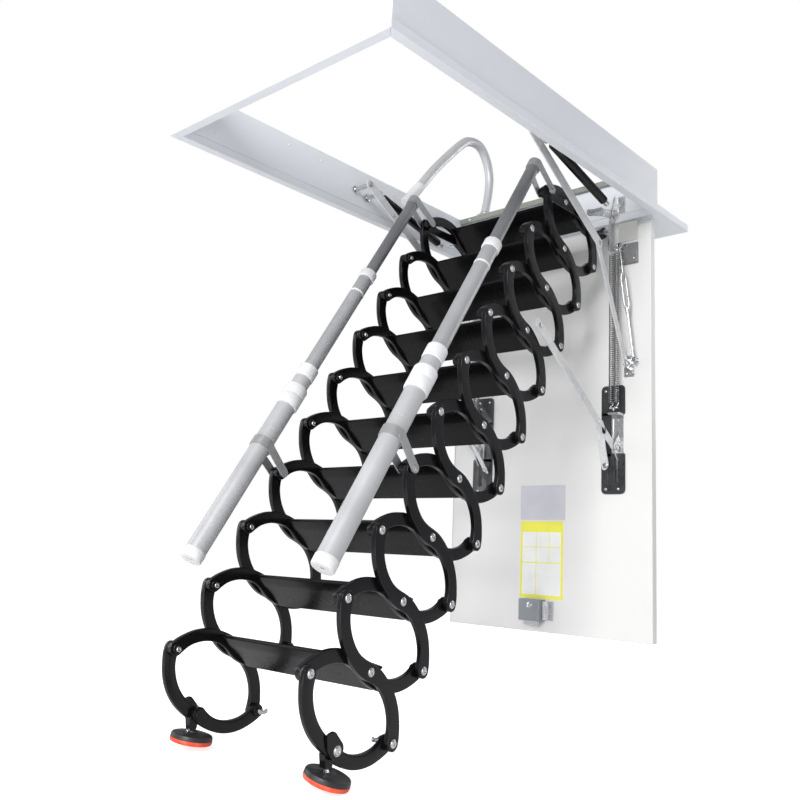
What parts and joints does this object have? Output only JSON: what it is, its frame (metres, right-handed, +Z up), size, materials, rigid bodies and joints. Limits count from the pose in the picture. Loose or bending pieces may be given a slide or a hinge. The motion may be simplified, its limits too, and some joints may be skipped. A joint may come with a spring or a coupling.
{
  "type": "attic ladder",
  "caption": "Concertina attic ladder with scissor side links and level steps, two telescopic handrails, a white ceiling frame and a hinged trapdoor with arms, struts and springs.",
  "frame": {"origin": "on the ceiling face of the trim flange, in the middle of the wide hinge side", "axes": "+X right along the treads, +Y towards the hinge side, +Z up"},
  "size_m": [0.728, 1.307, 1.7735],
  "materials": {
    "black_gloss": "gloss black paint on cast and sheet aluminium",
    "white_frame": "satin white paint",
    "white_door": "satin white paint on sheet",
    "zinc_plate": "bright zinc plating",
    "bright_steel": "drawn steel wire and rod",
    "latch_metal": "grey zinc casting",
    "grey_tube": "satin grey tube",
    "silver_tube": "satin silver tube with white plastic collars",
    "pale_tube": "pale silver painted tube with white plastic fittings",
    "red_rubber": "red-orange rubber under a black plastic cup"
  },
  "bodies": {
    "frame": {"trim_flange": "white_frame", "lining_box": "white_frame", "grab_rail": "pale_tube"},
    "door": {"door_panel": "white_door", "latch_case": "latch_metal"},
    "latch_bolt": {"latch_bolt": "bright_steel"},
    "step_10": {"step_10": "black_gloss"},
    "links_10": {"outer_link_10_right": "black_gloss", "outer_link_10_left": "black_gloss"},
    "step_1": {"step_1": "black_gloss"},
    "links_1": {"outer_link_1_right": "black_gloss", "outer_link_1_left": "black_gloss"},
    "step_2": {"step_2": "black_gloss"},
    "links_2": {"outer_link_2_right": "black_gloss", "outer_link_2_left": "black_gloss"},
    "step_3": {"step_3": "black_gloss"},
    "links_3": {"outer_link_3_right": "black_gloss", "outer_link_3_left": "black_gloss"},
    "step_4": {"step_4": "black_gloss"},
    "links_4": {"outer_link_4_right": "black_gloss", "outer_link_4_left": "black_gloss"},
    "step_5": {"step_5": "black_gloss"},
    "links_5": {"outer_link_5_right": "black_gloss", "outer_link_5_left": "black_gloss"},
    "step_6": {"step_6": "black_gloss"},
    "links_6": {"outer_link_6_right": "black_gloss", "outer_link_6_left": "black_gloss"},
    "step_7": {"step_7": "black_gloss"},
    "links_7": {"outer_link_7_right": "black_gloss", "outer_link_7_left": "black_gloss"},
    "step_8": {"step_8": "black_gloss"},
    "links_8": {"outer_link_8_right": "black_gloss", "outer_link_8_left": "black_gloss"},
    "step_9": {"step_9": "black_gloss"},
    "links_9": {"outer_link_9_right": "black_gloss", "outer_link_9_left": "black_gloss"},
    "foot_front": {"foot_front_link_right": "black_gloss", "foot_front_link_left": "black_gloss"},
    "foot_rear": {"foot_rear_link_right": "black_gloss", "foot_rear_link_left": "black_gloss"},
    "pad_right": {"foot_pad_right": "red_rubber"},
    "pad_left": {"foot_pad_left": "red_rubber"},
    "rail_lower": {"rail_lower_right": "pale_tube", "rail_lower_left": "pale_tube"},
    "rail_middle": {"rail_middle_right": "silver_tube", "rail_middle_left": "silver_tube"},
    "rail_upper": {"rail_upper_right": "grey_tube", "rail_upper_left": "grey_tube"},
    "upper_arms": {"upper_arm_right": "zinc_plate", "upper_arm_left": "zinc_plate"},
    "lower_arms": {"lower_arm_right": "zinc_plate", "lower_arm_left": "zinc_plate"},
    "strut_bodies": {"strut_body_right": "black_gloss", "strut_body_left": "black_gloss"},
    "strut_rods": {"strut_rod_right": "bright_steel", "strut_rod_left": "bright_steel"},
    "springs": {"spring_pair_right": "bright_steel", "spring_pair_left": "bright_steel"},
    "stay_arms": {"stay_arm_right": "zinc_plate", "stay_arm_left": "zinc_plate"}
  },
  "joints": [
    {"name": "ladder_swing", "type": "hinge", "parent": "frame", "child": "step_10", "pos_m": [0, -0.13, 0], "axis": [1, 0, 0], "range_deg": [-78.81, 0]},
    {"name": "ladder_fold", "type": "hinge", "parent": "step_10", "child": "links_9", "pos_m": [0, -0.44854, -0.03713], "axis": [1, 0, 0], "range_deg": [0, 41]},
    {"name": "links_10_turn", "type": "hinge", "parent": "step_10", "child": "links_10", "pos_m": [0, -0.29277, -0.04556], "axis": [1, 0, 0], "range_deg": [0, 41.01]},
    {"name": "step_9_turn", "type": "hinge", "parent": "links_9", "child": "step_9", "pos_m": [0, -0.37699, -0.17575], "axis": [1, 0, 0], "range_deg": [-41.01, 0]},
    {"name": "links_8_turn", "type": "hinge", "parent": "step_9", "child": "links_8", "pos_m": [0, -0.53277, -0.16731], "axis": [1, 0, 0], "range_deg": [0, 41.01]},
    {"name": "step_8_turn", "type": "hinge", "parent": "links_8", "child": "step_8", "pos_m": [0, -0.46122, -0.30594], "axis": [1, 0, 0], "range_deg": [-41.01, 0]},
    {"name": "links_7_turn", "type": "hinge", "parent": "step_8", "child": "links_7", "pos_m": [0, -0.61699, -0.2975], "axis": [1, 0, 0], "range_deg": [0, 41.01]},
    {"name": "step_7_turn", "type": "hinge", "parent": "links_7", "child": "step_7", "pos_m": [0, -0.54544, -0.43613], "axis": [1, 0, 0], "range_deg": [-41.01, 0]},
    {"name": "links_6_turn", "type": "hinge", "parent": "step_7", "child": "links_6", "pos_m": [0, -0.70121, -0.42769], "axis": [1, 0, 0], "range_deg": [0, 41.01]},
    {"name": "step_6_turn", "type": "hinge", "parent": "links_6", "child": "step_6", "pos_m": [0, -0.62966, -0.56632], "axis": [1, 0, 0], "range_deg": [-41.01, 0]},
    {"name": "links_5_turn", "type": "hinge", "parent": "step_6", "child": "links_5", "pos_m": [0, -0.78543, -0.55788], "axis": [1, 0, 0], "range_deg": [0, 41.01]},
    {"name": "step_5_turn", "type": "hinge", "parent": "links_5", "child": "step_5", "pos_m": [0, -0.71388, -0.6965], "axis": [1, 0, 0], "range_deg": [-41.01, 0]},
    {"name": "links_4_turn", "type": "hinge", "parent": "step_5", "child": "links_4", "pos_m": [0, -0.86965, -0.68807], "axis": [1, 0, 0], "range_deg": [0, 41.01]},
    {"name": "step_4_turn", "type": "hinge", "parent": "links_4", "child": "step_4", "pos_m": [0, -0.79811, -0.82669], "axis": [1, 0, 0], "range_deg": [-41.01, 0]},
    {"name": "links_3_turn", "type": "hinge", "parent": "step_4", "child": "links_3", "pos_m": [0, -0.95388, -0.81825], "axis": [1, 0, 0], "range_deg": [0, 41.01]},
    {"name": "step_3_turn", "type": "hinge", "parent": "links_3", "child": "step_3", "pos_m": [0, -0.88233, -0.95688], "axis": [1, 0, 0], "range_deg": [-41.01, 0]},
    {"name": "links_2_turn", "type": "hinge", "parent": "step_3", "child": "links_2", "pos_m": [0, -1.0381, -0.94844], "axis": [1, 0, 0], "range_deg": [0, 41.01]},
    {"name": "step_2_turn", "type": "hinge", "parent": "links_2", "child": "step_2", "pos_m": [0, -0.96655, -1.08707], "axis": [1, 0, 0], "range_deg": [-41.01, 0]},
    {"name": "links_1_turn", "type": "hinge", "parent": "step_2", "child": "links_1", "pos_m": [0, -1.12232, -1.07863], "axis": [1, 0, 0], "range_deg": [0, 41.01]},
    {"name": "step_1_turn", "type": "hinge", "parent": "links_1", "child": "step_1", "pos_m": [0, -1.05077, -1.21726], "axis": [1, 0, 0], "range_deg": [-41.01, 0]},
    {"name": "front_foot_turn", "type": "hinge", "parent": "step_1", "child": "foot_front", "pos_m": [0, -1.20654, -1.20882], "axis": [1, 0, 0], "range_deg": [0, 41.01]},
    {"name": "rear_foot_turn", "type": "hinge", "parent": "links_1", "child": "foot_rear", "pos_m": [0, -0.97922, -1.35588], "axis": [1, 0, 0], "range_deg": [-41.01, 0]},
    {"name": "lower_rail_turn", "type": "hinge", "parent": "step_4", "child": "rail_lower", "pos_m": [0, -0.95388, -0.81825], "axis": [1, 0, 0], "range_deg": [0, 20.51]},
    {"name": "upper_rail_turn", "type": "hinge", "parent": "step_10", "child": "rail_upper", "pos_m": [0, -0.44854, -0.03713], "axis": [1, 0, 0], "range_deg": [0, 20.51]},
    {"name": "middle_rail_slide", "type": "slide", "parent": "rail_lower", "child": "rail_middle", "axis": [0, 0.5432, 0.8396], "range_m": [-0.3313, 0]},
    {"name": "door_swing", "type": "hinge", "parent": "frame", "child": "door", "pos_m": [0, -0.081, -0.06], "axis": [1, 0, 0], "range_deg": [-90.01, 0]},
    {"name": "upper_arm_turn", "type": "hinge", "parent": "frame", "child": "upper_arms", "pos_m": [0, -0.625, 0.045], "axis": [1, 0, 0], "range_deg": [0, 73.97]},
    {"name": "lower_arm_turn", "type": "hinge", "parent": "door", "child": "lower_arms", "pos_m": [0, -0.134, -0.45], "axis": [1, 0, 0], "range_deg": [0, 41.46]},
    {"name": "strut_turn", "type": "hinge", "parent": "frame", "child": "strut_bodies", "pos_m": [0, -0.575, 0.036], "axis": [1, 0, 0], "range_deg": [0, 26.39]},
    {"name": "strut_slide", "type": "slide", "parent": "strut_bodies", "child": "strut_rods", "axis": [0, 0.9728, -0.2315], "range_m": [0, 0.07254]},
    {"name": "spring_turn", "type": "hinge", "parent": "door", "child": "springs", "pos_m": [0, -0.146, -0.582], "axis": [1, 0, 0], "range_deg": [-1.69, 0], "deforming": ["spring_pair_right", "spring_pair_left"]},
    {"name": "stay_turn", "type": "hinge", "parent": "door", "child": "stay_arms", "pos_m": [0, -0.131, -0.682], "axis": [1, 0, 0], "range_deg": [-35.36, 0]},
    {"name": "latch_slide", "type": "slide", "parent": "door", "child": "latch_bolt", "axis": [0, 0, 1], "range_m": [0, 0.01]},
    {"name": "right_pad_tilt", "type": "hinge", "parent": "foot_rear", "child": "pad_right", "pos_m": [0.207, -1.144, -1.38644], "axis": [0, 1, 0], "range_deg": [-6, 8]},
    {"name": "left_pad_tilt", "type": "hinge", "parent": "foot_rear", "child": "pad_left", "pos_m": [-0.207, -1.144, -1.38644], "axis": [0, 1, 0], "range_deg": [-8, 8]}
  ],
  "couplings": [
    {"joint": "ladder_swing", "follows": "ladder_fold", "ratio": -1.922},
    {"joint": "links_10_turn", "follows": "ladder_fold", "ratio": 1},
    {"joint": "step_9_turn", "follows": "ladder_fold", "ratio": -1},
    {"joint": "links_8_turn", "follows": "ladder_fold", "ratio": 1},
    {"joint": "step_8_turn", "follows": "ladder_fold", "ratio": -1},
    {"joint": "links_7_turn", "follows": "ladder_fold", "ratio": 1},
    {"joint": "step_7_turn", "follows": "ladder_fold", "ratio": -1},
    {"joint": "links_6_turn", "follows": "ladder_fold", "ratio": 1},
    {"joint": "step_6_turn", "follows": "ladder_fold", "ratio": -1},
    {"joint": "links_5_turn", "follows": "ladder_fold", "ratio": 1},
    {"joint": "step_5_turn", "follows": "ladder_fold", "ratio": -1},
    {"joint": "links_4_turn", "follows": "ladder_fold", "ratio": 1},
    {"joint": "step_4_turn", "follows": "ladder_fold", "ratio": -1},
    {"joint": "links_3_turn", "follows": "ladder_fold", "ratio": 1},
    {"joint": "step_3_turn", "follows": "ladder_fold", "ratio": -1},
    {"joint": "links_2_turn", "follows": "ladder_fold", "ratio": 1},
    {"joint": "step_2_turn", "follows": "ladder_fold", "ratio": -1},
    {"joint": "links_1_turn", "follows": "ladder_fold", "ratio": 1},
    {"joint": "step_1_turn", "follows": "ladder_fold", "ratio": -1},
    {"joint": "front_foot_turn", "follows": "ladder_fold", "ratio": 1},
    {"joint": "rear_foot_turn", "follows": "ladder_fold", "ratio": -1},
    {"joint": "lower_rail_turn", "follows": "ladder_fold", "ratio": 0.5},
    {"joint": "upper_rail_turn", "follows": "ladder_fold", "ratio": 0.5},
    {"joint": "middle_rail_slide", "follows": "ladder_fold", "m_per_rad": -0.46228},
    {"joint": "door_swing", "follows": "ladder_fold", "ratio": -2.1951},
    {"joint": "upper_arm_turn", "follows": "ladder_fold", "ratio": 1.804},
    {"joint": "lower_arm_turn", "follows": "ladder_fold", "ratio": 1.011},
    {"joint": "strut_turn", "follows": "ladder_fold", "ratio": 0.64333},
    {"joint": "strut_slide", "follows": "ladder_fold", "m_per_rad": 0.10068},
    {"joint": "spring_turn", "follows": "ladder_fold", "ratio": -0.041049},
    {"joint": "stay_turn", "follows": "ladder_fold", "ratio": -0.86213}
  ]
}
